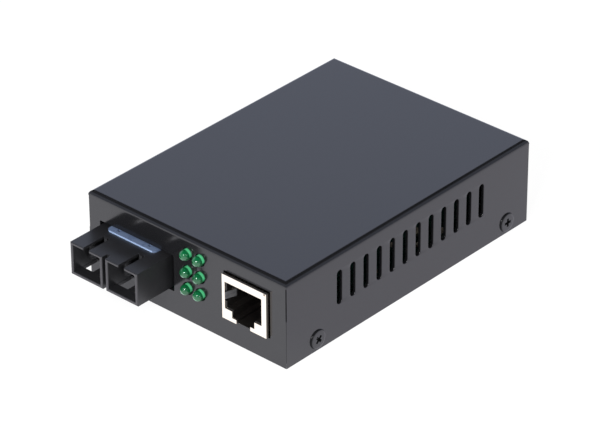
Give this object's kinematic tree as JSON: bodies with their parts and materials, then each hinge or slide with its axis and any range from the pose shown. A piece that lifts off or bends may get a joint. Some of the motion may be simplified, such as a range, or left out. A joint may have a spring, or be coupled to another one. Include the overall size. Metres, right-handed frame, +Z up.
{
  "type": "fibre media converter",
  "caption": "Small desktop box that joins a copper network cable to a pair of optical fibres, in a folded steel case with vents, lamps and a barrel power jack",
  "frame": {"origin": "bottom centre of the case, on the plane it stands on", "axes": "+Z up, +Y towards the back, +X right seen from the front"},
  "size_m": [0.0714, 0.1093, 0.0255],
  "materials": {
    "case_paint": "fine semi-gloss charcoal powder coat",
    "tray_paint": "the same charcoal coat",
    "black_screw": "black oxide",
    "board_green": "solder mask",
    "plated_steel": "bright zinc plate",
    "black_plastic": "fine satin moulding",
    "sleeve_metal": "turned",
    "tinned_lead": "tinned",
    "blue_plastic": "light blue, satin",
    "nickel_plate": "bright nickel plate with a warm cast",
    "socket_plastic": "black moulding",
    "gold_contact": "gold plate",
    "lamp_green": "green diffused lens",
    "chip_black": "moulded package",
    "ferrite": "ferrite",
    "can_aluminium": "sleeved can",
    "ceramic": "ceramic chip parts"
  },
  "bodies": {
    "root": {"board_screws": "plated_steel", "board_standoffs": "plated_steel", "bottom_tray": "tray_paint", "ceramic_parts": "ceramic", "chip_leads": "tinned_lead", "circuit_board": "board_green", "converter_chip": "chip_black", "cover_screws": "black_screw", "crystal": "plated_steel", "detector_can": "plated_steel", "ferrule_sleeve_left": "sleeve_metal", "ferrule_sleeve_right": "sleeve_metal", "inductor": "ferrite", "input_capacitor": "can_aluminium", "jack_contacts": "gold_contact", "jack_insert": "socket_plastic", "jack_shield": "nickel_plate", "lamp_holder_left": "black_plastic", "lamp_holder_right": "black_plastic", "lamp_leads": "tinned_lead", "lamp_left_high": "lamp_green", "lamp_left_low": "lamp_green", "lamp_left_middle": "lamp_green", "lamp_right_high": "lamp_green", "lamp_right_low": "lamp_green", "lamp_right_middle": "lamp_green", "laser_can": "plated_steel", "latch_left": "black_plastic", "latch_right": "black_plastic", "magnetics": "chip_black", "output_capacitor": "can_aluminium", "power_jack_housing": "socket_plastic", "power_jack_pin": "nickel_plate", "power_jack_spring": "nickel_plate", "regulator": "chip_black", "top_cover": "case_paint", "transceiver_board": "board_green", "transceiver_clip": "blue_plastic", "transceiver_housing": "black_plastic", "transceiver_pins": "tinned_lead"}
  },
  "joints": []
}
